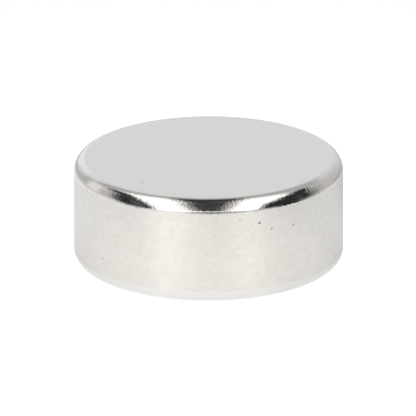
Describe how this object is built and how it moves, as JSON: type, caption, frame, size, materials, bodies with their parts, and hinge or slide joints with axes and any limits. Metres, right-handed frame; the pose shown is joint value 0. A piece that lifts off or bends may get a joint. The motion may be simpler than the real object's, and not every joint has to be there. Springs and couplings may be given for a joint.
{
  "type": "disc magnet",
  "caption": "Thick round disc magnet with flat pole faces, a straight side wall and rounded rims, plated in bright nickel.",
  "frame": {"origin": "middle of the bottom pole face", "axes": "+Z along the axis of the disc, from the bottom pole face to the top one; +X and +Y lie in the bottom pole face"},
  "size_m": [0.025, 0.025, 0.01],
  "materials": {
    "nickel_plate": "bright nickel plate: near mirror on the pole faces and rims, fine satin on the ground side wall, with a few tiny pits"
  },
  "bodies": {
    "root": {"magnet": "nickel_plate"}
  },
  "joints": []
}
